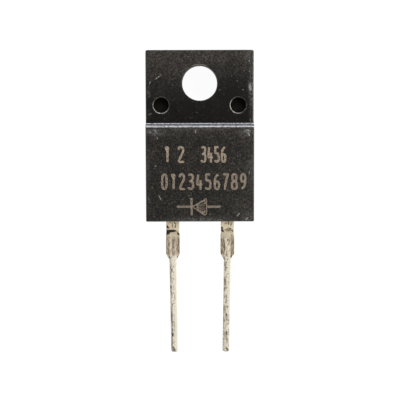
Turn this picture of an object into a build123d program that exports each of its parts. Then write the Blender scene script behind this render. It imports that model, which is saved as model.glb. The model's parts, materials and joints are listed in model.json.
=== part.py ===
"""Isolated two-lead power diode in a flat moulded package with a screw tab.

The part lies on its back. +Z is the outward normal of the front face, +Y points to the tab end
and the leads run towards -Y. The origin is on the screw-hole axis, at the back face.
All lengths are in millimetres and all angles in degrees.
"""

from build123d import *

import os
from math import radians, tan

# ---- Moulded case, outside ----
case_width = 10.0  # at the parting plane
case_length = 15.75  # tab end to lead end, at the parting plane
case_thickness = 4.6  # back face to the front face of the body
tab_thickness = 2.6  # back face to the front face of the tab
tab_length = 6.8  # tab end to the foot of the step
parting_height = 2.5  # plane where the two mould halves meet
back_draft = 1.5
front_draft = 2.0
corner_radius = 0.18  # the four upright corners
front_edge_radius = 0.13
tab_edge_bevel = 0.08
step_draft = 1.5  # lean of the step's wall
step_bevel_height = 0.32  # bevel along the top of the step
step_bevel_run = 0.18
step_foot_radius = 0.12

# ---- Screw hole and support-pin dimples ----
hole_diameter = 3.3
hole_to_tab_end = 3.0
hole_rim_bevel = 0.08
dimple_diameter = 1.4
dimple_rim = 0.11  # width of the bevel round each dimple
dimple_spacing = 7.14
dimple_below_hole = 2.06
dimple_floor = 0.15  # moulding left between a dimple and the header

# ---- Leads, outside the case ----
lead_pitch = 5.08
lead_thickness = 0.6
lead_length = 12.35  # beyond the case
neck_width = 1.2
neck_length = 1.15  # beyond the case
wide_width = 1.27
wide_length = 1.66  # between the neck and the taper
neck_flare = 0.28
taper_length = 0.6
pin_width = 0.63
pin_tip_bevel = 0.12
lead_edge_radius = 0.07  # front edges, rounded by the stamping
cathode_pin_lean = 0.12  # sideways shift of the pin's end, towards the other lead
anode_pin_lean = 0.14

# ---- Header, inside the case ----
back_skin = 0.5  # insulating layer behind the header
header_thickness = 1.3
side_skin = 0.8
header_to_lead_end = 2.3
header_corner_radius = 0.4
header_back_bevel = 0.3  # keys the header's back edge into the moulding
hole_insulation = 1.0  # moulding between the screw hole and the header
ear_below_hole = 0.9
lock_groove_depth = 0.15
lock_groove_width = 0.35
lock_groove_inset = 1.25  # from the foot of the step and from the header's lower end
downset_start = 0.2  # from the header's lower end to the upper bend
downset_run = 1.05
downset_bend_radius = 0.45

# ---- Anode bond post, inside the case ----
post_width = 3.1
post_height = 1.2
post_to_lead_end = 0.7
post_corner_radius = 0.25
notch_radius = 0.16
notch_to_lead_end = 0.38
lock_hole_diameter = 0.5
lock_hole_inset = 0.5

# ---- Chip, solder and bond wires ----
chip_size = 2.8
chip_thickness = 0.28
chip_below_hole = 7.0
solder_thickness = 0.05
solder_margin = 0.12
wire_count = 2
wire_diameter = 0.38
wire_spacing = 1.2
wire_foot_length = 0.9
wire_foot_width = 0.52
wire_foot_height = 0.28
wire_foot_bevel = 0.12
wire_foot_above_chip_edge = 1.1
wire_crest_height = 1.6  # wire centre above the chip along the crest of its loop
wire_crest_start = 0.3  # share of the span at which the crest starts
wire_crest_end = 0.62
wire_bend_radius = 0.8
wire_root_place = 0.4  # share of a foot's length, from its middle to where the round wire enters it
wire_root_level = 0.7  # share of a foot's height at which the wire's centre enters it

# ---- Heights and places that follow from them ----
tab_end = hole_to_tab_end
lead_end = tab_end - case_length
step_foot = tab_end - tab_length
case_middle = tab_end - case_length / 2
lead_front = parting_height + lead_thickness
header_front = back_skin + header_thickness
header_low = lead_end + header_to_lead_end
header_width = case_width - 2 * side_skin
chip_back = header_front + solder_thickness
chip_front = chip_back + chip_thickness
post_low = lead_end + post_to_lead_end
cutter_margin = 1.0  # how far a cutting tool runs past what it cuts
tolerance = 0.001


def case_plan(height):
    """Rounded outline of the case at the parting plane, moved to a height."""
    return Pos(0, case_middle, height) * RectangleRounded(case_width, case_length, corner_radius)


def edges_at_height(solid, height):
    """Edges that lie in one level plane."""
    level = solid.edges().filter_by(Plane.XY)
    return level.filter_by_position(Axis.Z, height - tolerance, height + tolerance)


def tab_slab():
    """Full-length slab as thick as the tab, drafted away from the parting plane both ways."""
    back = extrude(case_plan(parting_height), amount=parting_height, dir=(0, 0, -1), taper=back_draft)
    front = extrude(case_plan(parting_height), amount=tab_thickness - parting_height, taper=front_draft)
    slab = back + front
    return chamfer(edges_at_height(slab, tab_thickness), tab_edge_bevel)


def body_profile():
    """Side view of the raised body: drafted step wall, rounded at its foot and bevelled at its top."""
    wall_height = case_thickness - tab_thickness - step_bevel_height
    wall_top = step_foot - wall_height * tan(radians(step_draft))
    toe = step_foot + 2 * step_foot_radius
    low = lead_end - cutter_margin
    outline = Polyline(
        (low, parting_height),
        (toe, parting_height),
        (toe, tab_thickness),
        (step_foot, tab_thickness),
        (wall_top, tab_thickness + wall_height),
        (wall_top - step_bevel_run, case_thickness),
        (low, case_thickness),
        close=True,
    )
    profile = make_face(outline)
    foot = profile.vertices().sort_by_distance((step_foot, tab_thickness))[0]
    return Plane.YZ * fillet(foot, step_foot_radius)


def raised_body():
    """Thick part of the case, from the step to the lead end."""
    blank = extrude(case_plan(parting_height), amount=case_thickness - parting_height, taper=front_draft)
    body = blank & extrude(body_profile(), amount=case_width, both=True)
    return fillet(edges_at_height(body, case_thickness), front_edge_radius)


def case_shell():
    """Outer form of the moulding, with its hole and dimples."""
    case = tab_slab() + raised_body()
    case -= screw_hole()
    for side in (-1, 1):
        case -= Pos(side * dimple_spacing / 2, -dimple_below_hole) * dimple()
    return case


def screw_hole():
    """Through hole whose front rim is bevelled."""
    radius = hole_diameter / 2
    rim = radius + hole_rim_bevel
    outline = Polyline(
        (0, -cutter_margin),
        (radius, -cutter_margin),
        (radius, tab_thickness - hole_rim_bevel),
        (rim, tab_thickness),
        (rim, tab_thickness + cutter_margin),
        (0, tab_thickness + cutter_margin),
        close=True,
    )
    return revolve(make_face(Plane.XZ * outline), Axis.Z)


def dimple():
    """Blind round mark of a mould support pin, with a bevelled rim."""
    floor = header_front + dimple_floor
    radius = dimple_diameter / 2
    outline = Polyline(
        (0, floor),
        (radius, floor),
        (radius, tab_thickness - dimple_rim),
        (radius + dimple_rim, tab_thickness),
        (radius + dimple_rim, tab_thickness + cutter_margin),
        (0, tab_thickness + cutter_margin),
        close=True,
    )
    return revolve(make_face(Plane.XZ * outline), Axis.Z)


def pin_plan(lean):
    """Front outline of a lead beyond the case, centred on x = 0; the pin leans by the given shift."""
    neck_end = lead_end - neck_length
    wide_start = neck_end - neck_flare
    wide_end = wide_start - wide_length
    pin_start = wide_end - taper_length
    pin_end = lead_end - lead_length
    stations = [
        (neck_width, lead_end, 0),
        (neck_width, neck_end, 0),
        (wide_width, wide_start, 0),
        (wide_width, wide_end, 0),
        (pin_width, pin_start, 0),
        (pin_width, pin_end + pin_tip_bevel, lean),
        (pin_width - 2 * pin_tip_bevel, pin_end, lean),
    ]
    right = [(shift + width / 2, y) for width, y, shift in stations]
    left = [(shift - width / 2, y) for width, y, shift in reversed(stations)]
    return make_face(Polyline(*right, *left, close=True))


def outer_lead(lean):
    """Straight flat lead beyond the case, with its front edges rounded."""
    lead = Pos(0, 0, parting_height) * extrude(pin_plan(lean), amount=lead_thickness)
    front_edges = edges_at_height(lead, lead_front)
    rims = [edge for edge in front_edges if edge.center().Y < lead_end - tolerance]
    return fillet(rims, lead_edge_radius)


def neck_notches():
    """Pair of round notches that key a neck into the moulding."""
    y = lead_end + notch_to_lead_end
    notch = Cylinder(notch_radius, 2 * lead_thickness)
    height = parting_height + lead_thickness / 2
    return [Pos(side * neck_width / 2, y, height) * notch for side in (-1, 1)]


def header_plan():
    """Front outline of the header: die pad with two ears beside the screw hole."""
    top = -ear_below_hole
    plate = Pos(0, (top + header_low) / 2) * RectangleRounded(
        header_width, top - header_low, header_corner_radius
    )
    return plate - Circle(hole_diameter / 2 + hole_insulation)


def lock_groove(y):
    """V-shaped groove across the front of the header."""
    half = lock_groove_width / 2
    outline = Polyline(
        (y - half, header_front),
        (y, header_front - lock_groove_depth),
        (y + half, header_front),
        close=True,
    )
    return extrude(make_face(Plane.YZ * outline), amount=header_width, both=True)


def header():
    """Copper heat spreader that carries the chip."""
    plate = Pos(0, 0, back_skin) * extrude(header_plan(), amount=header_thickness)
    plate = chamfer(edges_at_height(plate, back_skin), header_back_bevel)
    for y in (step_foot - lock_groove_inset, header_low + lock_groove_inset):
        plate -= lock_groove(y)
    return plate


def downset_strip():
    """Inner end of the cathode lead, bent down to the level of the header."""
    lead_level = parting_height + lead_thickness / 2
    header_level = header_front - lead_thickness / 2
    bend_top = header_low - downset_start
    path = FilletPolyline(
        (header_low + lead_thickness, header_level),
        (bend_top, header_level),
        (bend_top - downset_run, lead_level),
        (lead_end, lead_level),
        radius=downset_bend_radius,
    )
    path = Plane.YZ * path
    start = Plane(origin=path @ 0, x_dir=(1, 0, 0), z_dir=path % 0)
    return sweep(start * Rectangle(neck_width, lead_thickness), path=path)


def cathode_leadframe():
    """Left lead, downset strip and header: one stamped and formed piece of copper."""
    lead = outer_lead(cathode_pin_lean) + downset_strip()
    for notch in neck_notches():
        lead -= notch
    return header() + Pos(-lead_pitch / 2, 0, 0) * lead


def bond_post():
    """Widened inner end of the anode lead, on which the wires are bonded."""
    neck_inside = post_to_lead_end + post_height / 2
    neck = Pos(0, lead_end + neck_inside / 2) * Rectangle(neck_width, neck_inside)
    post_middle = post_low + post_height / 2
    flag = Pos(0, post_middle) * RectangleRounded(post_width, post_height, post_corner_radius)
    lock_x = post_width / 2 - lock_hole_inset
    lock_y = post_low + lock_hole_inset
    plan = neck + flag - Pos(lock_x, lock_y) * Circle(lock_hole_diameter / 2)
    return Pos(0, 0, parting_height) * extrude(plan, amount=lead_thickness)


def anode_lead():
    """Right lead with its bond post."""
    lead = outer_lead(-anode_pin_lean) + bond_post()
    for notch in neck_notches():
        lead -= notch
    return Pos(lead_pitch / 2, 0, 0) * lead


def die_attach_solder():
    """Thin solder layer, spread a little past the chip."""
    size = chip_size + 2 * solder_margin
    layer = Rectangle(size, size)
    return Pos(0, -chip_below_hole, header_front) * extrude(layer, amount=solder_thickness)


def diode_chip():
    """Silicon chip, cathode side down on the solder."""
    die = Rectangle(chip_size, chip_size)
    return Pos(0, -chip_below_hole, chip_back) * extrude(die, amount=chip_thickness)


def wire_foot():
    """Flattened end of a bond wire, lying along x."""
    foot = extrude(Rectangle(wire_foot_length, wire_foot_width), amount=wire_foot_height)
    return chamfer(foot.edges().filter_by(Axis.Z), wire_foot_bevel)


def bond_wire(number):
    """Looped aluminium wire from the top of the chip to the bond post."""
    offset = (number - (wire_count + 1) / 2) * wire_spacing
    start = Vector(offset, -chip_below_hole - chip_size / 2 + wire_foot_above_chip_edge, chip_front)
    end = Vector(lead_pitch / 2 + offset, post_low + post_height / 2, lead_front)
    span = Vector(end.X - start.X, end.Y - start.Y).length
    rise = end.Z - start.Z
    inset = wire_foot_length * wire_root_place
    level = wire_foot_height * wire_root_level
    path = Plane.XZ * FilletPolyline(
        (inset, level),
        (span * wire_crest_start, wire_crest_height),
        (span * wire_crest_end, wire_crest_height),
        (span - inset, rise + level),
        radius=wire_bend_radius,
    )
    section = Plane(origin=path @ 0, z_dir=path % 0) * Circle(wire_diameter / 2)
    wire = sweep(section, path=path)
    wire += wire_foot() + Pos(span, 0, rise) * wire_foot()
    heading = Vector(1, 0, 0).get_signed_angle(Vector(end.X - start.X, end.Y - start.Y), Vector(0, 0, 1))
    return Pos(start.X, start.Y, start.Z) * Rot(0, 0, heading) * wire


def build_parts():
    """Every piece by name; the moulding fills all the space round the inner pieces."""
    inner = {
        "cathode_leadframe": cathode_leadframe(),
        "anode_lead": anode_lead(),
        "die_attach_solder": die_attach_solder(),
        "diode_chip": diode_chip(),
    }
    for number in range(1, wire_count + 1):
        inner[f"bond_wire_{number}"] = bond_wire(number)
    case = case_shell()
    for piece in inner.values():
        case -= piece
    return {"moulded_case": case, **inner}


def main():
    os.makedirs("parts", exist_ok=True)
    for name, piece in build_parts().items():
        export_step(piece, f"parts/{name}.step")


main()
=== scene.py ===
import json
import math
import random

import bmesh
import bpy
from mathutils import Euler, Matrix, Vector
from mathutils.geometry import delaunay_2d_cdt, intersect_point_tri_2d


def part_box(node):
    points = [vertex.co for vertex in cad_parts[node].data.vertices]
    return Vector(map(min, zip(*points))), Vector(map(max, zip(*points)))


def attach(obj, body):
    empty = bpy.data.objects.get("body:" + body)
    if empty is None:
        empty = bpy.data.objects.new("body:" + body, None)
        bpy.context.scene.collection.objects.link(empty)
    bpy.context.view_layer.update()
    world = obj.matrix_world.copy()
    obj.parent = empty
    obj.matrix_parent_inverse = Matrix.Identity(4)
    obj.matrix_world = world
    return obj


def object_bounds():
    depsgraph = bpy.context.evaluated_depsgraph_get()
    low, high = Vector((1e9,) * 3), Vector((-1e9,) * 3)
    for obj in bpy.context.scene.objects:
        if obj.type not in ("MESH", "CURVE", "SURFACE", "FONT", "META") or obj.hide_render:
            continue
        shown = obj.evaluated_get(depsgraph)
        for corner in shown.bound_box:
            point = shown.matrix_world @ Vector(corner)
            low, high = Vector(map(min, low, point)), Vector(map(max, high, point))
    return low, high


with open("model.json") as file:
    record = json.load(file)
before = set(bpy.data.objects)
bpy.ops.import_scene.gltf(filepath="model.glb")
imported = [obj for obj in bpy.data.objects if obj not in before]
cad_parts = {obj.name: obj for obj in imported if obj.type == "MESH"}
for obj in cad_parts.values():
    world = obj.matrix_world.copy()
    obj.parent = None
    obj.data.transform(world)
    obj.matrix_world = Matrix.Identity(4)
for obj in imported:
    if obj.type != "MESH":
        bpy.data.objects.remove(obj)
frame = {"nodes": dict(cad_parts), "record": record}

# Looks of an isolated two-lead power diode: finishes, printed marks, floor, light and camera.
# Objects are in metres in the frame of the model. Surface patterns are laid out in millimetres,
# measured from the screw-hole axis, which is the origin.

MM = 0.001

cad_low, cad_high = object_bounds()
case_low, case_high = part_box("moulded_case")
mounts = {mount["name"]: mount for mount in frame["record"]["mounts"]}

body_front = case_high.z / MM
tab_front = mounts["screw_head_seat"]["pos_m"][2] / MM
tab_end = case_high.y / MM
case_end = case_low.y / MM  # the leads leave the case here
case_side = case_high.x / MM
hole_radius = mounts["screw_hole"]["dims"]["r_mm"]
step_foot = -3.68  # where the tab's front meets the root of the step
step_edge = -4.12  # where the step's rounded top meets the front of the body
dimple_x = 3.57
dimple_y = -2.06
dimple_radius = 0.7
cathode_x = -2.54
anode_x = 2.54
crevice = case_end - 0.95  # level of the crevice across each lead, darkened with painted shade
taper_start = case_end - 3.1  # level where the wide part of each lead ends

UPPER_ROW = [  # digits, left end, pitch and width of each digit
    ("1", -3.2, 0, 0.42),
    ("2", -1.95, 0, 0.45),
    ("3456", 0.14, 0.61, 0.35),
]
LOWER_ROW = [("0123456789", -3.45, 0.795, 0.43)]
upper_level = -7.22  # foot of the upper row
upper_height = 1.34
lower_level = -9.69
lower_height = 1.33
symbol_level = -11.31  # middle line of the diode symbol


# ---- Shader graphs ----


class Finish:
    """One procedural material: adds nodes to its tree and joins them."""

    def __init__(self, name):
        self.material = bpy.data.materials.new(name)
        self.material.use_nodes = True
        self.nodes = self.material.node_tree.nodes
        self.links = self.material.node_tree.links
        self.shader = self.nodes["Principled BSDF"]
        coordinates = self.nodes.new("ShaderNodeTexCoord").outputs["Object"]
        self.point = self.vector("SCALE", coordinates, scale=1 / MM)
        self.flat = self.vector("MULTIPLY", self.point, (1, 1, 0))
        axes = self.nodes.new("ShaderNodeSeparateXYZ")
        self.feed(axes.inputs[0], self.point)
        self.x, self.y, self.z = axes.outputs

    def feed(self, socket, value):
        """Joins a node's output to a socket, or sets the socket to a plain value."""
        if isinstance(value, bpy.types.NodeSocket):
            self.links.new(value, socket)
        else:
            socket.default_value = value

    def math(self, operation, *values, clamp=False):
        node = self.nodes.new("ShaderNodeMath")
        node.operation = operation
        node.use_clamp = clamp
        for socket, value in zip(node.inputs, values):
            self.feed(socket, value)
        return node.outputs[0]

    def vector(self, operation, *values, scale=None):
        node = self.nodes.new("ShaderNodeVectorMath")
        node.operation = operation
        for socket, value in zip(node.inputs, values):
            self.feed(socket, value)
        if scale is not None:
            self.feed(node.inputs["Scale"], scale)
        return node.outputs["Value" if operation in ("LENGTH", "DOT_PRODUCT") else "Vector"]

    def ramp(self, value, start, end, low=0.0, high=1.0):
        """Smooth rise from low, at start, to high, at end."""
        node = self.nodes.new("ShaderNodeMapRange")
        node.interpolation_type = "SMOOTHSTEP"
        names = ("Value", "From Min", "From Max", "To Min", "To Max")
        for name, number in zip(names, (value, start, end, low, high)):
            self.feed(node.inputs[name], number)
        return node.outputs[0]

    def noise(self, per_mm, detail=2.0, rough=0.5, stretch=(1, 1, 1), shift=(0, 0, 0)):
        """Noise from 0 to 1 with so many lumps in a millimetre."""
        place = self.vector("MULTIPLY_ADD", self.point, stretch, shift)
        node = self.nodes.new("ShaderNodeTexNoise")
        self.feed(node.inputs["Vector"], place)
        self.feed(node.inputs["Scale"], per_mm)
        self.feed(node.inputs["Detail"], detail)
        self.feed(node.inputs["Roughness"], rough)
        return node.outputs["Fac"]

    def mix(self, share, first, second):
        """Colour between two, by a share from 0 to 1."""
        node = self.nodes.new("ShaderNodeMix")
        node.data_type = "RGBA"
        self.feed(node.inputs[0], share)
        for socket, value in ((node.inputs[6], first), (node.inputs[7], second)):
            self.feed(socket, (*value, 1) if isinstance(value, tuple) else value)
        return node.outputs[2]

    def both(self, *masks):
        """Product of masks."""
        product = masks[0]
        for mask in masks[1:]:
            product = self.math("MULTIPLY", product, mask)
        return product

    def either(self, *masks):
        """Largest of masks."""
        largest = masks[0]
        for mask in masks[1:]:
            largest = self.math("MAXIMUM", largest, mask)
        return largest

    def oval(self, centre, reach, turn=0.0, soft=1.0, peak=1.0, place=None):
        """Oval mask, laid out on the front: its peak at the centre, 0 past the reach."""
        node = self.nodes.new("ShaderNodeMapping")
        node.vector_type = "TEXTURE"
        self.feed(node.inputs["Vector"], self.flat if place is None else place)
        node.inputs["Location"].default_value = (*centre, 0)
        node.inputs["Rotation"].default_value = (0, 0, turn)
        node.inputs["Scale"].default_value = (*reach, 1)
        away = self.vector("LENGTH", node.outputs[0])
        return self.ramp(away, 1.0, 1.0 - soft, 0.0, peak)

    def streak(self, start, end, half, peak=1.0, place=None):
        """Mask of a narrow mark between two points, fading towards its rim."""
        along = Vector(end) - Vector(start)
        middle = (Vector(start) + Vector(end)) / 2
        turn = math.atan2(along.y, along.x)
        return self.oval(middle, (along.length / 2 + half, half), turn, 0.6, peak, place)

    def ring(self, centre, radius, width):
        """Mask of a thin ring."""
        away = self.vector("LENGTH", self.vector("SUBTRACT", self.flat, (*centre, 0)))
        off = self.math("ABSOLUTE", self.math("SUBTRACT", away, radius))
        return self.ramp(off, width, width * 0.4)

    def toward(self, centre, heading):
        """Cosine of the angle between a heading and the way from a centre."""
        away = self.vector("NORMALIZE", self.vector("SUBTRACT", self.flat, (*centre, 0)))
        return self.vector("DOT_PRODUCT", away, (*heading, 0))

    def blend(self, share, first, second):
        """Number between two, by a share from 0 to 1."""
        node = self.nodes.new("ShaderNodeMix")
        for socket, value in zip(node.inputs, (share, None, first, second)):
            if value is not None:
                self.feed(socket, value)
        return node.outputs[0]

    def slope(self):
        """Upward share of the surface's normal: 1 on a level top and 0 on a wall."""
        normal = self.nodes.new("ShaderNodeNewGeometry").outputs["Normal"]
        return self.vector("DOT_PRODUCT", normal, (0, 0, 1))

    def bump(self, height, depth):
        """Normal of a surface whose height, from 0 to 1, stands for a depth in millimetres."""
        node = self.nodes.new("ShaderNodeBump")
        self.feed(node.inputs["Height"], height)
        node.inputs["Distance"].default_value = depth * MM
        return node.outputs[0]

    def shade(self, **values):
        """Sets the shader's inputs; an underscore in a name stands for a space."""
        for name, value in values.items():
            self.feed(self.shader.inputs[name.replace("_", " ")], value)


# ---- Finishes ----

SCRATCHES = [  # start, end, half-width and strength, on the front of the case
    ((-4.2, 0.24), (-3.5, 0.72), 0.042, 0.85),
    ((-3.7, 0.82), (-3.55, 0.74), 0.06, 0.4),
    ((-4.54, 0.12), (-4.64, -0.1), 0.065, 0.5),
    ((-4.66, -2.9), (-4.42, -2.8), 0.055, 0.45),
    ((4.66, -3.35), (4.68, -3.68), 0.065, 0.4),
    ((4.64, -0.1), (4.68, -0.75), 0.17, 0.75),
    ((-0.34, -4.3), (-0.42, -4.62), 0.07, 0.75),
    ((-4.1, -4.3), (-3.9, -4.6), 0.1, 0.5),
    ((-4.62, -4.5), (-4.4, -4.58), 0.1, 0.35),
    ((4.2, -4.32), (4.52, -4.42), 0.09, 0.8),
    ((4.36, -4.56), (4.5, -4.88), 0.075, 0.8),
    ((-3.8, -10.18), (-3.48, -10.78), 0.05, 0.7),
    ((-4.8, -10.42), (-4.56, -10.78), 0.04, 0.4),
    ((-3.88, -5.0), (-3.82, -5.18), 0.065, 0.55),
    ((-4.1, -7.58), (-3.96, -7.58), 0.09, 0.45),
    ((3.35, -12.18), (3.62, -11.9), 0.08, 0.6),
    ((4.14, -12.55), (4.36, -12.32), 0.08, 0.55),
    ((4.47, -8.05), (4.48, -8.4), 0.055, 0.5),
]

RUBS_AND_RIGHT_LIGHT = [  # centre, reach and strength of hazy rubbed patches on the front of the case; those along the right edge are painted light
    ((4.72, -0.3), (0.45, 1.3), 1.0),
    ((5.1, -0.6), (0.76, 5.2), 1.4),
    ((4.55, 2.4), (0.6, 0.7), 0.55),
    ((-4.72, -0.9), (0.3, 0.9), 0.5),
    ((-4.72, -2.9), (0.3, 0.7), 0.3),
    ((4.2, -4.5), (1.1, 0.7), 0.8),
    ((-4.0, -4.55), (1.4, 0.6), 0.8),
    ((0.0, -4.2), (5.0, 0.35), 0.35),
    ((4.3, -12.3), (1.3, 0.8), 0.5),
    ((4.7, -8.0), (0.6, 2.8), 0.25),
    ((0.0, -12.6), (5.2, 0.6), 0.8),
    ((-4.7, -7.5), (0.3, 2.5), 0.2),
]

SPECKS = [  # light chips on the front of the case: centre, radius and strength
    ((4.57, 1.96), 0.1, 0.9),
    ((4.61, 1.02), 0.1, 0.7),
    ((-3.94, 1.52), 0.08, 0.4),
    ((3.46, 0.16), 0.07, 0.5),
    ((1.87, -0.67), 0.08, 0.4),
    ((-2.5, -0.2), 0.07, 0.35),
    ((4.0, -0.67), 0.09, 0.4),
    ((4.1, 1.05), 0.07, 0.4),
    ((2.95, 0.6), 0.06, 0.35),
    ((-4.13, -1.08), 0.07, 0.4),
    ((-1.08, 1.34), 0.08, 0.4),
    ((-0.76, 2.82), 0.07, 0.4),
    ((4.03, 2.8), 0.08, 0.5),
    ((4.35, -7.15), 0.08, 0.5),
    ((-4.2, -12.2), 0.08, 0.3),
]


def moulding_compound():
    """Matt black epoxy: filler grains, hazy rubbed patches, scratches, worn edges; painted
    highlights on the step, rims and right edge, and painted shade in the holes and on the tab.
    """
    f = Finish("moulding_compound")
    on_front = f.ramp(f.z, tab_front - 0.3, tab_front - 0.15)
    on_body = f.ramp(f.y, step_edge + 0.05, step_edge)

    # Tone of the front, with painted light and shade on the tab: darkest near the step and lighter
    # towards the tab's end. The body is lighter near the step and towards its right side.
    tab_tone_with_painted_shade = f.ramp(f.y, step_foot + 1.4, tab_end + 0.6, 0.004, 0.0355)
    tab_tone_with_painted_shade = f.math("SUBTRACT", tab_tone_with_painted_shade, f.oval((3.0, 0.6), (4.2, 3.2), peak=0.009))
    near_step = f.ramp(f.y, step_edge - 1.3, step_edge)
    rightward = f.ramp(f.x, 1.5, case_side + 0.2)
    body_level = f.math("MULTIPLY_ADD", near_step, 0.0115, 0.0165)
    body_level = f.math("MULTIPLY_ADD", rightward, 0.0095, body_level)
    front_level = f.blend(on_body, tab_tone_with_painted_shade, body_level)
    level = f.blend(on_front, 0.016, front_level)

    grain = f.ramp(f.noise(6.4, 3.0, 0.8), 0.34, 0.68, 0.3, 1.8)
    fine = f.ramp(f.noise(9.5, 2.0, 0.6, shift=(4, 1, 6)), 0.34, 0.66, 0.5, 1.55)
    cloud = f.ramp(f.noise(0.8, 2.0, 0.55, shift=(9, 2, 0)), 0.3, 0.72, 0.78, 1.25)
    colour = f.vector("SCALE", (1.12, 0.98, 0.83), scale=f.both(level, grain, fine, cloud))
    fleck = f.ramp(f.noise(6.5, 1.0, 0.4, shift=(7, 3, 1)), 0.67, 0.78)
    colour = f.mix(f.both(fleck, on_front, f.blend(on_body, 0.4, 0.7)), colour, (0.13, 0.118, 0.1))

    broken = f.ramp(f.noise(7.0, 3.0, 0.75, shift=(2, 9, 4)), 0.4, 0.68)
    # Pale rubbed patches, with painted light along the right edge of the case.
    rubs_and_right_light = [f.oval(centre, reach, peak=strength) for centre, reach, strength in RUBS_AND_RIGHT_LIGHT]
    colour = f.mix(f.both(f.either(*rubs_and_right_light), broken, on_front, 0.9), colour, (0.2, 0.195, 0.19))

    patchy = f.ramp(f.noise(11.0, 2.0, 0.7), 0.38, 0.58, 0.12, 1.0)
    scratches = [f.streak(*scratch) for scratch in SCRATCHES]
    specks = [
        f.oval(centre, (radius, radius), peak=strength) for centre, radius, strength in SPECKS
    ]
    scratched = f.both(f.either(*scratches, *specks), on_front, patchy)
    colour = f.mix(scratched, colour, (0.52, 0.49, 0.44))

    slope = f.slope()
    tilted = f.both(f.ramp(slope, 0.15, 0.4), f.ramp(slope, 0.985, 0.93))
    uneven = f.ramp(f.noise(4.2, 3.0, 0.75, shift=(5, 5, 5)), 0.36, 0.6, 0.35, 1.0)
    # Pale step: some whitish wear, and a painted highlight at its foot and lip with a fainter
    # painted band on its bevel, standing in for reflections of the light past the tab end.
    past_edge = f.ramp(f.y, step_edge, step_edge + 0.06)
    before_foot = f.ramp(f.y, step_foot - 0.02, step_foot - 0.07)
    in_step = f.both(past_edge, before_foot, f.ramp(slope, 0.1, 0.16))
    foot = f.ramp(f.z, tab_front + 0.5, tab_front + 0.1)
    lip = f.both(f.ramp(f.z, body_front - 0.13, body_front - 0.05), f.ramp(slope, 0.985, 0.94))
    bevel = f.ramp(f.z, body_front - 0.5, body_front - 0.25)
    step_wear_and_painted_highlight = f.either(foot, f.both(bevel, 0.46), lip, 0.27)
    colour = f.mix(f.both(step_wear_and_painted_highlight, in_step, uneven), colour, (0.7, 0.7, 0.73))

    # Slanted edges paler: some wear all round, and painted light on the right-hand edges, most of
    # it on the tab.
    painted_right_light = f.both(f.ramp(f.x, case_side - 0.4, case_side - 0.1), f.blend(on_body, 0.75, 0.04))
    rim = f.both(tilted, uneven, f.math("ADD", painted_right_light, 0.14))
    rim = f.both(rim, f.ramp(in_step, 1.0, 0.0))
    colour = f.mix(rim, colour, (0.3, 0.28, 0.25))

    # Painted shade: the screw hole and the two dimples are darkened inside, and reflect less
    # there.
    from_hole = f.vector("LENGTH", f.flat)
    near_hole = f.ramp(from_hole, hole_radius + 0.05, hole_radius + 0.01)
    hole_shades = [f.both(near_hole, f.ramp(f.z, tab_front - 0.05, tab_front - 0.15), 0.85)]
    # Painted highlights: thin pale arcs on the rims of the hole and of the dimples, on the sides
    # that face the light.
    painted_rim_glints = [f.both(f.ring((0, 0), hole_radius + 0.03, 0.05), f.ramp(f.y, 1.45, 1.65), 0.4)]
    for side in (-1, 1):
        centre = (side * dimple_x, dimple_y)
        below_rim = f.both(f.ramp(f.z, tab_front - 0.05, tab_front - 0.12), f.ramp(f.z, 0.3, 0.5))
        reach = dimple_radius + 0.04
        hole_shades.append(f.both(f.oval(centre, (reach, reach), soft=0.08), below_rim))
        heading = (-0.35, -0.94) if side < 0 else (-0.85, -0.53)
        glint = f.ramp(f.toward(centre, heading), -0.3, 0.95, 0.2, 1.0)
        painted_rim_glints.append(f.both(f.ring(centre, dimple_radius + 0.06, 0.042), glint, uneven))
    colour = f.mix(f.both(f.either(*painted_rim_glints), on_front), colour, (0.6, 0.56, 0.5))
    painted_hole_shade = f.either(*hole_shades)
    colour = f.mix(painted_hole_shade, colour, (0.009, 0.008, 0.007))

    rough = f.ramp(f.noise(3.0, 3.0, 0.6, shift=(1, 5, 2)), 0.3, 0.7, 0.5, 0.68)
    rough = f.math("SUBTRACT", rough, f.both(f.either(tilted, in_step), 0.2))
    relief = f.math("SUBTRACT", f.noise(9.0, 3.0, 0.65), f.both(scratched, 0.8))
    shine = f.blend(painted_hole_shade, 0.2, 0.06)
    normal = f.bump(relief, 0.01)
    f.shade(Base_Color=colour, Roughness=rough, Normal=normal, Specular_IOR_Level=shine)
    return f.material


CATHODE_BANDS = [  # place across the lead, half-width and strength of brown bands on its wide part
    (-0.44, 0.26, 0.95),
    (0.04, 0.19, 0.95),
    (0.28, 0.16, 0.5),
    (0.55, 0.18, 1.0),
]
ANODE_BANDS = [(-0.48, 0.27, 1.0), (0.46, 0.28, 0.95)]

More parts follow.
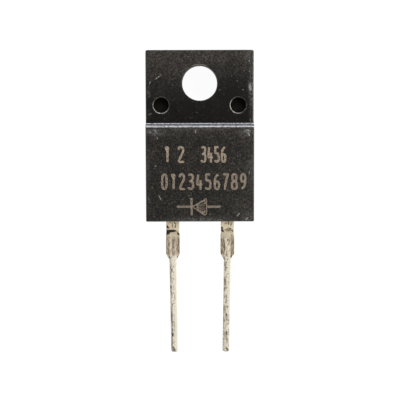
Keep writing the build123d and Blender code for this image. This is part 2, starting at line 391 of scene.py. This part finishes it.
CATHODE_STAINS_AND_SHADE = [  # start, end, half-width and strength of dark marks, from the axis of the lead; those about the crevice are painted shade, the rest are stains and pits
    ((-0.63, -13.7), (0.34, -13.68), 0.17, 1.4),
    ((-0.6, -13.72), (-0.42, -13.84), 0.27, 1.3),
    ((0.34, -13.7), (0.46, -13.86), 0.06, 0.8),
    ((-0.55, -13.22), (-0.43, -13.42), 0.14, 1.0),
    ((-0.58, -13.75), (-0.52, -13.95), 0.217, 1.0),
    ((0.46, -13.9), (0.58, -14.05), 0.13, 1.0),
    ((0.14, -12.9), (0.28, -13.05), 0.075, 0.8),
    ((0.28, -13.05), (0.2, -13.45), 0.075, 0.8),
    ((-0.02, -12.95), (-0.04, -13.4), 0.07, 0.7),
    ((-0.3, -12.85), (-0.12, -12.95), 0.075, 0.5),
    ((-0.4, -15.95), (-0.2, -16.35), 0.072, 0.9),
    ((0.52, -16.0), (0.4, -16.22), 0.087, 0.9),
    ((0.0, -17.0), (0.02, -17.1), 0.072, 0.5),
    ((-0.14, -17.2), (-0.16, -17.6), 0.072, 0.55),
    ((0.0, -18.1), (0.03, -18.25), 0.072, 0.6),
    ((-0.2, -18.8), (-0.18, -19.1), 0.102, 0.8),
    ((-0.2, -19.2), (-0.08, -19.85), 0.087, 0.6),
    ((0.14, -19.5), (0.16, -20.3), 0.072, 0.4),
    ((-0.12, -20.5), (-0.07, -20.75), 0.087, 0.7),
    ((-0.15, -20.6), (-0.07, -23.2), 0.1, 0.62),
    ((0.1, -21.9), (0.14, -23.6), 0.08, 0.35),
    ((-0.1, -23.7), (-0.14, -24.9), 0.12, 0.55),
    ((-0.01, -22.2), (0.0, -22.35), 0.072, 0.6),
    ((-0.05, -23.35), (-0.04, -23.6), 0.131, 1.0),
    ((-0.05, -23.9), (-0.06, -24.3), 0.072, 0.5),
    ((-0.2, -25.04), (0.28, -25.06), 0.13, 0.8),
    ((-0.1, -24.62), (0.16, -24.98), 0.18, 0.75),
    ((-0.08, -22.7), (-0.06, -23.4), 0.09, 0.6),
]

# Dark marks on the anode lead, laid out the same way: painted shade about the crevice, stains and
# pits below it.
ANODE_STAINS_AND_SHADE = [
    ((-0.52, -13.36), (-0.5, -13.48), 0.115, 1.35),
    ((-0.5, -13.62), (-0.42, -13.72), 0.14, 1.35),
    ((-0.28, -13.6), (0.44, -13.62), 0.18, 0.62),
    ((0.42, -13.64), (0.46, -13.72), 0.11, 0.85),
    ((-0.1, -13.52), (0.02, -13.46), 0.1, 0.5),
    ((0.12, -13.44), (0.32, -13.52), 0.1, 0.75),
    ((0.1, -13.15), (0.1, -12.8), 0.075, 0.8),
    ((-0.24, -13.0), (0.02, -12.95), 0.075, 0.65),
    ((0.3, -13.15), (0.4, -12.95), 0.075, 0.65),
    ((0.0, -14.48), (0.0, -14.62), 0.087, 0.75),
    ((0.34, -14.05), (0.44, -14.2), 0.087, 0.6),
    ((0.2, -15.5), (0.12, -15.6), 0.072, 0.4),
    ((-0.26, -14.45), (-0.27, -15.95), 0.072, 0.75),
    ((0.36, -15.98), (0.31, -16.2), 0.09, 1.0),
    ((-0.25, -15.85), (0.0, -16.1), 0.087, 0.6),
    ((-0.05, -16.3), (0.0, -16.4), 0.087, 0.7),
    ((-0.16, -16.5), (-0.2, -17.6), 0.087, 0.65),
    ((-0.18, -18.1), (-0.18, -18.9), 0.087, 0.55),
    ((-0.12, -19.0), (-0.06, -19.1), 0.087, 0.5),
    ((-0.14, -19.6), (-0.08, -20.2), 0.08, 0.55),
    ((-0.12, -20.3), (-0.16, -20.5), 0.072, 0.7),
    ((-0.06, -20.6), (0.0, -21.1), 0.072, 0.5),
    ((-0.1, -21.5), (-0.06, -21.7), 0.094, 1.0),
    ((-0.06, -21.7), (-0.05, -22.3), 0.072, 0.75),
    ((0.12, -21.9), (0.14, -22.4), 0.072, 0.35),
    ((-0.1, -23.1), (-0.06, -23.6), 0.102, 0.8),
    ((-0.03, -23.7), (-0.05, -24.4), 0.087, 0.55),
    ((-0.12, -24.7), (0.04, -25.0), 0.13, 0.75),
    ((-0.16, -25.04), (0.18, -25.06), 0.12, 0.65),
]


def tinned_copper(name, middle, bands, stains_and_shade):
    """Dull tin over copper: cream, brown bands and dark pits; painted shade in the crevice,
    painted light on the neck and right edge.
    """
    f = Finish(name)
    across = f.math("SUBTRACT", f.x, middle)
    streak = f.noise(1.0, 3.0, 0.65, stretch=(6.5, 1.0, 6.5), shift=(middle, 0, 0))
    fine = f.noise(1.0, 2.0, 0.6, stretch=(15, 4.0, 15), shift=(0, middle, 3))
    mottle = f.noise(4.0, 3.0, 0.75, shift=(middle, 5, 1))

    above_taper = f.ramp(f.y, taper_start - 0.3, taper_start)
    wide = f.both(above_taper, f.ramp(f.y, crevice - 0.25, crevice - 0.9))
    neck = f.ramp(f.y, crevice - 0.15, crevice + 0.05)
    pin = f.ramp(f.y, taper_start, taper_start - 0.4)
    left_third = f.ramp(across, 0.0, -0.2)
    right_edge = f.ramp(across, 0.16, 0.3)

    tan = f.mix(f.ramp(mottle, 0.32, 0.68), (0.68, 0.53, 0.35), (0.9, 0.79, 0.58))
    cream = f.mix(f.ramp(mottle, 0.32, 0.68), (0.8, 0.73, 0.58), (0.98, 0.94, 0.82))
    # The neck's colour is painted lighter, standing in for light that the case keeps off it.
    neck_painted_light = f.mix(f.ramp(mottle, 0.3, 0.6), (0.92, 0.73, 0.49), (1.0, 0.9, 0.68))
    off_middle = f.math("ABSOLUTE", across)
    below_neck = f.ramp(f.y, crevice + 0.1, crevice - 0.3, 0.0, 0.6)
    pale = f.both(below_neck, f.ramp(off_middle, 0.46, 0.18))
    colour = f.mix(neck, f.mix(f.either(pin, pale), tan, cream), neck_painted_light)

    brown = f.both(wide, f.ramp(f.math("MULTIPLY_ADD", fine, 0.5, streak), 0.68, 0.92, 0.0, 0.85))
    for place, half, strength in bands:
        off = f.math("ABSOLUTE", f.math("SUBTRACT", across, place))
        band = f.both(f.ramp(off, half, half * 0.4), f.ramp(fine, 0.38, 0.56, 0.4, 1.0))
        brown = f.either(brown, f.both(wide, band, strength))
    blotch = f.noise(1.0, 3.0, 0.7, stretch=(3.4, 2.0, 3.4), shift=(middle, 7, 0))
    brown = f.either(brown, f.both(neck, f.ramp(blotch, 0.52, 0.7), 0.55))
    brown = f.either(brown, f.both(pin, left_third, f.ramp(blotch, 0.4, 0.62, 0.2, 0.85)))
    brown = f.either(brown, f.both(pin, f.ramp(mottle, 0.52, 0.68), 0.4))
    spots = f.ramp(f.noise(5.5, 2.0, 0.6, shift=(middle, 2, 6)), 0.54, 0.64, 0.0, 0.85)
    brown = f.either(brown, f.both(pin, f.ramp(across, 0.24, 0.04), spots))
    colour = f.mix(brown, colour, (0.19, 0.132, 0.083))
    # Painted highlight: a cream line along the right edge of the pin and of the neck.
    painted_edge_highlight = f.either(f.both(right_edge, pin), f.both(neck, f.ramp(across, 0.42, 0.52)))
    colour = f.mix(f.both(painted_edge_highlight, 0.75), colour, (0.88, 0.86, 0.71))

    # Dark stains and pits, with painted shade in the crevice below the neck.
    place = f.vector("SUBTRACT", f.flat, (middle, 0, 0))
    marks = [f.streak(start, end, half, strength, place) for start, end, half, strength in stains_and_shade]
    ragged = f.ramp(f.noise(7.0, 2.0, 0.7, shift=(3, 8, middle)), 0.28, 0.5, 0.7, 1.0)
    dark = f.both(f.either(*marks), ragged, f.ramp(f.slope(), -0.3, 0.3))
    stain_and_shade_colour = f.mix(f.ramp(dark, 0.5, 0.95), (0.1, 0.062, 0.034), (0.016, 0.013, 0.01))
    colour = f.mix(f.math("MULTIPLY", dark, 1.15, clamp=True), colour, stain_and_shade_colour)

    rough = f.ramp(streak, 0.3, 0.7, 0.36, 0.55)
    relief = f.math("SUBTRACT", f.both(streak, 0.6), f.either(f.both(brown, 0.4), dark))
    metal = f.blend(neck, 0.2, 0.0)
    f.shade(Base_Color=colour, Roughness=rough, Metallic=metal, Normal=f.bump(relief, 0.02))
    return f.material


def solder():
    """Dull grey solder with a grainy skin."""
    f = Finish("solder")
    grain = f.noise(9.0, 3.0, 0.6)
    colour = f.mix(f.ramp(grain, 0.35, 0.7), (0.4, 0.41, 0.43), (0.62, 0.63, 0.65))
    rough = f.ramp(grain, 0.3, 0.7, 0.3, 0.5)
    f.shade(Base_Color=colour, Roughness=rough, Metallic=1.0, Normal=f.bump(grain, 0.01))
    return f.material


def silicon():
    """Dark polished silicon, faintly clouded."""
    f = Finish("silicon")
    cloud = f.noise(2.0, 2.0, 0.5)
    colour = f.mix(f.ramp(cloud, 0.3, 0.7), (0.11, 0.12, 0.15), (0.2, 0.21, 0.25))
    f.shade(Base_Color=colour, Roughness=f.ramp(cloud, 0.3, 0.7, 0.15, 0.25), Metallic=0.6)
    return f.material


def aluminium_wire():
    """Bright drawn aluminium with faint lengthwise lines."""
    f = Finish("aluminium_wire")
    lines = f.noise(6.0, 2.0, 0.6, stretch=(1, 0.3, 1))
    colour = f.mix(lines, (0.68, 0.69, 0.71), (0.86, 0.87, 0.88))
    rough = f.ramp(lines, 0.3, 0.7, 0.25, 0.4)
    f.shade(Base_Color=colour, Roughness=rough, Metallic=1.0, Normal=f.bump(lines, 0.008))
    return f.material


def laser_mark():
    """Tan mark that a laser leaves in the epoxy, uneven where it bit less."""
    f = Finish("laser_mark")
    bite = f.noise(7.0, 3.0, 0.65)
    pore = f.ramp(f.noise(13.0, 1.0, 0.5, shift=(3, 1, 8)), 0.6, 0.7)
    colour = f.mix(f.ramp(bite, 0.25, 0.7), (0.17, 0.134, 0.1), (0.44, 0.355, 0.27))
    below_upper = f.ramp(f.y, upper_level - 0.38, upper_level - 0.78)
    below_lower = f.ramp(f.y, lower_level - 0.21, lower_level - 0.61, 0.22, 0.36)
    in_triangle = f.oval((0.14, symbol_level - 0.01), (0.46, 0.6), soft=0.5, peak=0.8)
    epoxy = (0.07, 0.058, 0.048)
    colour = f.mix(f.either(f.both(below_upper, below_lower), in_triangle), colour, epoxy)
    colour = f.mix(f.both(pore, 0.6), colour, epoxy)
    rough = f.ramp(bite, 0.3, 0.7, 0.6, 0.8)
    f.shade(Base_Color=colour, Roughness=rough, Normal=f.bump(bite, 0.01), Specular_IOR_Level=0.2)
    return f.material


def dress_nodes():
    """Gives each carried-over solid its finish."""
    finishes = {
        "moulded_case": moulding_compound(),
        "cathode_leadframe": tinned_copper(
            "tinned_copper_cathode", cathode_x, CATHODE_BANDS, CATHODE_STAINS_AND_SHADE
        ),
        "anode_lead": tinned_copper("tinned_copper_anode", anode_x, ANODE_BANDS, ANODE_STAINS_AND_SHADE),
        "die_attach_solder": solder(),
        "diode_chip": silicon(),
    }
    wire = aluminium_wire()
    for name, solid in frame["nodes"].items():
        finish = finishes.get(name, wire)
        if not solid.material_slots:
            solid.data.materials.append(finish)
        for place in solid.material_slots:
            place.material = finish


# ---- Marks on the front ----

mark_depth = 0.004  # how far a mark reaches into the case
mark_rise = 0.003
pass_width = 0.09  # one pass of the laser
pass_gap = 0.105  # from one pass of a stroke to the other
step_length = 0.06  # between points along a pass

DIGITS = {  # strokes of each digit in a cell one unit wide and one high
    "0": [
        [(0.5, 1), (0.1, 0.95), (0, 0.5), (0.1, 0.05), (0.5, 0)]
        + [(0.9, 0.05), (1, 0.5), (0.9, 0.95), (0.5, 1)]
    ],
    "1": [[(0.6, 0), (0.6, 0.72), (0.85, 0.95), (0.5, 1.0), (0.2, 0.95), (0.6, 0.72)]],
    "2": [[(0, 0.8), (0.1, 1), (0.9, 1), (1, 0.7), (0.5, 0.4), (0.05, 0.05)], [(0.05, 0), (1, 0)]],
    "3": [
        [(0, 0.95), (0.5, 1), (1, 0.95), (0.9, 0.58), (0.35, 0.53)],
        [(0.35, 0.53), (1, 0.5), (1, 0.05), (0.5, 0), (0, 0.07)],
    ],
    "4": [[(0.25, 1), (0, 0.33), (0.25, 0.3), (1, 0.3)], [(0.72, 0.62), (0.72, 0)]],
    "5": [
        [(0.95, 1), (0.08, 1)],
        [(0.08, 1), (0.05, 0.55), (0.7, 0.62), (1, 0.4), (0.95, 0.04), (0.5, 0), (0, 0.06)],
    ],
    "6": [
        [(0.85, 1), (0.2, 0.85), (0, 0.4), (0.1, 0), (0.9, 0), (1, 0.4), (0.6, 0.55), (0.05, 0.4)]
    ],
    "7": [[(0, 1), (0.5, 1), (1, 1)], [(1, 1), (0.5, 0.45), (0.35, 0)]],
    "8": [
        [(0.5, 0.53), (0.05, 0.6), (0.1, 0.97), (0.5, 1), (0.9, 0.97), (0.95, 0.6), (0.5, 0.53)],
        [(0.5, 0.53), (0, 0.45), (0, 0.03), (0.5, 0), (1, 0.03), (1, 0.45), (0.5, 0.53)],
    ],
    "9": [
        [(0.15, 0), (0.8, 0.15), (1, 0.6), (0.9, 1), (0.1, 1), (0, 0.6), (0.4, 0.45), (0.95, 0.6)]
    ],
}


def round_corners(points, times=2):
    """Cuts the corners of a path, keeping its ends."""
    for _ in range(times):
        cut = [points[0]]
        for a, b in zip(points, points[1:]):
            cut += [a.lerp(b, 0.25), a.lerp(b, 0.75)]
        points = cut + [points[-1]]
    return points


def even_steps(points, step):
    """Points at even distances along a path."""
    lengths = [(b - a).length for a, b in zip(points, points[1:])]
    count = max(2, round(sum(lengths) / step))
    spaced = []
    place, covered = 0, 0.0
    for number in range(count + 1):
        goal = sum(lengths) * number / count
        while place < len(lengths) - 1 and covered + lengths[place] < goal:
            covered += lengths[place]
            place += 1
        share = (goal - covered) / lengths[place]
        spaced.append(points[place].lerp(points[place + 1], min(1.0, share)))
    return spaced


def sideways(points):
    """Unit vectors to the left of a path."""
    sides = []
    for number in range(len(points)):
        ahead = points[min(number + 1, len(points) - 1)] - points[max(number - 1, 0)]
        sides.append(Vector((-ahead.y, ahead.x)).normalized())
    return sides


def one_pass(points, rng):
    """Flat cells of a strip along a path, wavy and uneven in width, narrower at its ends."""
    wave = rng.uniform(0, math.tau)
    reach = rng.uniform(0.004, 0.012)
    edges = []
    for number, (point, side) in enumerate(zip(points, sideways(points))):
        from_end = min(number, len(points) - 1 - number)
        half = pass_width / 2 * (0.5 if from_end == 0 else rng.uniform(0.82, 1.14))
        middle = point + side * reach * math.sin(wave + number * 0.9)
        edges.append((middle + side * half, middle - side * half))
    cells = []
    for (left, right), (next_left, next_right) in zip(edges, edges[1:]):
        cells += [(left, right, next_right), (left, next_right, next_left)]
    return cells


def one_stroke(points, rng):
    """Flat cells of one stroke of the laser: out along one side and back along the other."""
    path = even_steps(points, step_length)
    sides = sideways(path)
    out = [point + side * pass_gap / 2 for point, side in zip(path, sides)]
    back = [point - side * pass_gap / 2 for point, side in zip(path, sides)]
    turn = path[-1] + (path[-1] - path[-2]).normalized() * pass_gap / 2
    return one_pass(out + [turn] + back[::-1], rng)


def merged_layer(cells):
    """Points and triangles of one flat layer that covers just what the cells cover."""
    upright = []
    for a, b, c in cells:
        turn = (b - a).cross(c - a)
        if abs(turn) > 1e-6:
            upright.append((a, b, c) if turn > 0 else (a, c, b))
    corners = [corner for cell in upright for corner in cell]
    faces = [(first, first + 1, first + 2) for first in range(0, len(corners), 3)]
    points, _, triangles, _, _, _ = delaunay_2d_cdt(corners, [], faces, 1, 1e-4)
    covered = []
    for triangle in triangles:
        middle = (points[triangle[0]] + points[triangle[1]] + points[triangle[2]]) / 3
        if any(intersect_point_tri_2d(middle, *cell) for cell in upright):
            covered.append(triangle)
    return points, covered


def mark_piece(name, groups):
    """Piece made of thin closed layers, one for each group of flat cells."""
    mesh = bmesh.new()
    for cells in groups:
        points, covered = merged_layer(cells)
        low = [mesh.verts.new(Vector((*point, body_front - mark_depth)) * MM) for point in points]
        high = [mesh.verts.new(Vector((*point, body_front + mark_rise)) * MM) for point in points]
        sides = {(a, b) for t in covered for a, b in zip(t, t[1:] + t[:1])}
        for triangle in covered:
            mesh.faces.new([high[corner] for corner in triangle])
            mesh.faces.new([low[corner] for corner in reversed(triangle)])
        for a, b in sides:
            if (b, a) not in sides:
                mesh.faces.new((low[a], low[b], high[b], high[a]))
    loose = [vertex for vertex in mesh.verts if not vertex.link_faces]
    bmesh.ops.delete(mesh, geom=loose, context="VERTS")
    bmesh.ops.recalc_face_normals(mesh, faces=mesh.faces)
    data = bpy.data.meshes.new(name)
    mesh.to_mesh(data)
    mesh.free()
    piece = bpy.data.objects.new(name, data)
    bpy.context.scene.collection.objects.link(piece)
    piece.data.materials.append(mark_finish)
    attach(piece, "root")


def digit_row(name, groups, base, height, rng):
    """Row of plain digits. A group has its digits, left end, pitch and width of each digit."""
    glyphs = []
    for digits, left, pitch, width in groups:
        for number, digit in enumerate(digits):
            start = left + number * pitch
            cells = []
            for stroke in DIGITS[digit]:
                points = [Vector((start + x * width, base + y * height)) for x, y in stroke]
                cells += one_stroke(round_corners(points), rng)
            glyphs.append(cells)
    mark_piece(name, glyphs)


def diode_symbol(rng):
    """Symbol of a diode, with its bar towards the cathode lead and a hatched triangle."""
    bars = [
        [(-2.12, symbol_level), (-0.75, symbol_level)],
        [(-0.785, -10.5), (-0.76, -12.02)],
        [(0.6, symbol_level), (1.8, symbol_level)],
    ]
    tip = (-0.68, symbol_level)
    triangle = [
        [tip, (0.58, -10.55), (0.6, -11.95), (0.4, -12.08), tip],
        [(-0.4, -11.22), (0.45, -10.72), (0.46, -11.0), (-0.3, -11.26), (0.46, -11.2)],
        [(0.46, -11.45), (-0.35, -11.36), (0.45, -11.65)]
        + [(0.44, -11.85), (-0.3, -11.5), (0.4, -12.0)],
    ]
    cells = []
    for bar in bars:
        cells += one_stroke([Vector(point) for point in bar], rng)
    for line in triangle:
        cells += one_pass(even_steps([Vector(point) for point in line], step_length), rng)
    mark_piece("diode_symbol", [cells])


# ---- Stage ----


def pale_floor():
    """Round floor, rising into a low backdrop: it looks white and keeps a soft shadow."""
    flat_radius = 0.85
    bend = 0.15
    bend_steps = 8
    rise = 0.3
    segments = 96
    below_part = 0.02 * MM
    profile = [Vector((0, 0, 0))]
    for step in range(bend_steps + 1):
        angle = math.pi / 2 * step / bend_steps
        outwards = flat_radius + bend * math.sin(angle)
        profile.append(Vector((outwards, 0, bend * (1 - math.cos(angle)))))
    profile.append(Vector((flat_radius + bend, 0, rise)))
    mesh = bmesh.new()
    points = [mesh.verts.new(point) for point in profile]
    edges = [mesh.edges.new(pair) for pair in zip(points, points[1:])]
    bmesh.ops.spin(mesh, geom=points + edges, axis=(0, 0, 1), angle=math.tau, steps=segments)
    bmesh.ops.remove_doubles(mesh, verts=mesh.verts, dist=1e-5)
    bmesh.ops.recalc_face_normals(mesh, faces=mesh.faces)
    data = bpy.data.meshes.new("floor")
    mesh.to_mesh(data)
    mesh.free()
    floor = bpy.data.objects.new("floor", data)
    floor.location = (0, (cad_low.y + cad_high.y) / 2, cad_low.z - below_part)
    bpy.context.scene.collection.objects.link(floor)

    material = bpy.data.materials.new("pale_floor")
    material.use_nodes = True
    nodes, links = material.node_tree.nodes, material.node_tree.links
    nodes.clear()
    lit = nodes.new("ShaderNodeBsdfDiffuse")
    lit.inputs["Color"].default_value = (0.8, 0.8, 0.8, 1)
    dimmed = nodes.new("ShaderNodeBsdfDiffuse")
    dimmed.inputs["Color"].default_value = (0.13, 0.13, 0.13, 1)
    glow = nodes.new("ShaderNodeEmission")
    glow.inputs["Strength"].default_value = 0.95
    seen = nodes.new("ShaderNodeAddShader")
    links.new(dimmed.outputs[0], seen.inputs[0])
    links.new(glow.outputs[0], seen.inputs[1])
    path = nodes.new("ShaderNodeLightPath")
    ray = path.outputs["Is Camera Ray"]
    for kind in ("Is Glossy Ray", "Is Transmission Ray"):
        either = nodes.new("ShaderNodeMath")
        either.operation = "MAXIMUM"
        links.new(ray, either.inputs[0])
        links.new(path.outputs[kind], either.inputs[1])
        ray = either.outputs[0]
    choice = nodes.new("ShaderNodeMixShader")
    links.new(ray, choice.inputs[0])
    links.new(lit.outputs[0], choice.inputs[1])
    links.new(seen.outputs[0], choice.inputs[2])
    output = nodes.new("ShaderNodeOutputMaterial")
    links.new(choice.outputs[0], output.inputs[0])
    floor.data.materials.append(material)


def softbox(name, direction, size, level, colour):
    """Lamp that faces the part. A level of 1 lights the part so that white shows as white."""
    distance = 0.3
    lamp = bpy.data.lights.new(name, "AREA")
    lamp.shape = "RECTANGLE"
    lamp.size, lamp.size_y = size
    lamp.color = colour
    lamp.energy = level * math.pi**2 * distance**2
    holder = bpy.data.objects.new(name, lamp)
    towards = Vector(direction).normalized()
    holder.location = (cad_low + cad_high) / 2 + towards * distance
    holder.rotation_mode = "QUATERNION"
    holder.rotation_quaternion = towards.to_track_quat("Z", "Y")
    bpy.context.scene.collection.objects.link(holder)


def studio_light():
    """Even light from all round, with softboxes past both ends and on the right."""
    world = bpy.data.worlds.new("studio")
    world.use_nodes = True
    background = world.node_tree.nodes["Background"]
    background.inputs["Color"].default_value = (1, 1, 1, 1)
    background.inputs["Strength"].default_value = 0.3
    bpy.context.scene.world = world
    softbox("end_softbox", (0.1, 1, 0.8), (0.16, 0.08), 0.5, (0.88, 0.92, 1.0))
    softbox("right_softbox", (1, 0.15, 0.8), (0.08, 0.16), 0.5, (1.0, 0.95, 0.86))
    softbox("lead_softbox", (-0.1, -1, 0.9), (0.16, 0.08), 0.22, (1.0, 0.98, 0.94))


def front_camera():
    """Camera almost straight above the part, a little towards the tab end."""
    distance = 90 * MM
    tilt = math.radians(-4.74)
    lean = math.radians(-0.14)
    spin = math.radians(-0.15)
    above_middle = 0.19 * MM
    turn = Euler((tilt, lean, spin), "ZXY")
    aim = Vector((0, (cad_low.y + cad_high.y) / 2 + above_middle, tab_front * MM))
    camera = bpy.data.cameras.new("camera")
    camera.sensor_width = 36
    camera.lens = 86.98
    camera.clip_start = 0.005
    holder = bpy.data.objects.new("camera", camera)
    holder.location = aim + turn.to_matrix() @ Vector((0, 0, distance))
    holder.rotation_mode = "ZXY"
    holder.rotation_euler = turn
    bpy.context.scene.collection.objects.link(holder)
    bpy.context.scene.camera = holder


dress_nodes()
mark_finish = laser_mark()
rng = random.Random(5)
digit_row("digits_upper", UPPER_ROW, upper_level, upper_height, rng)
digit_row("digits_lower", LOWER_ROW, lower_level, lower_height, rng)
diode_symbol(rng)
pale_floor()
studio_light()
front_camera()
bpy.context.scene.view_settings.view_transform = "Standard"
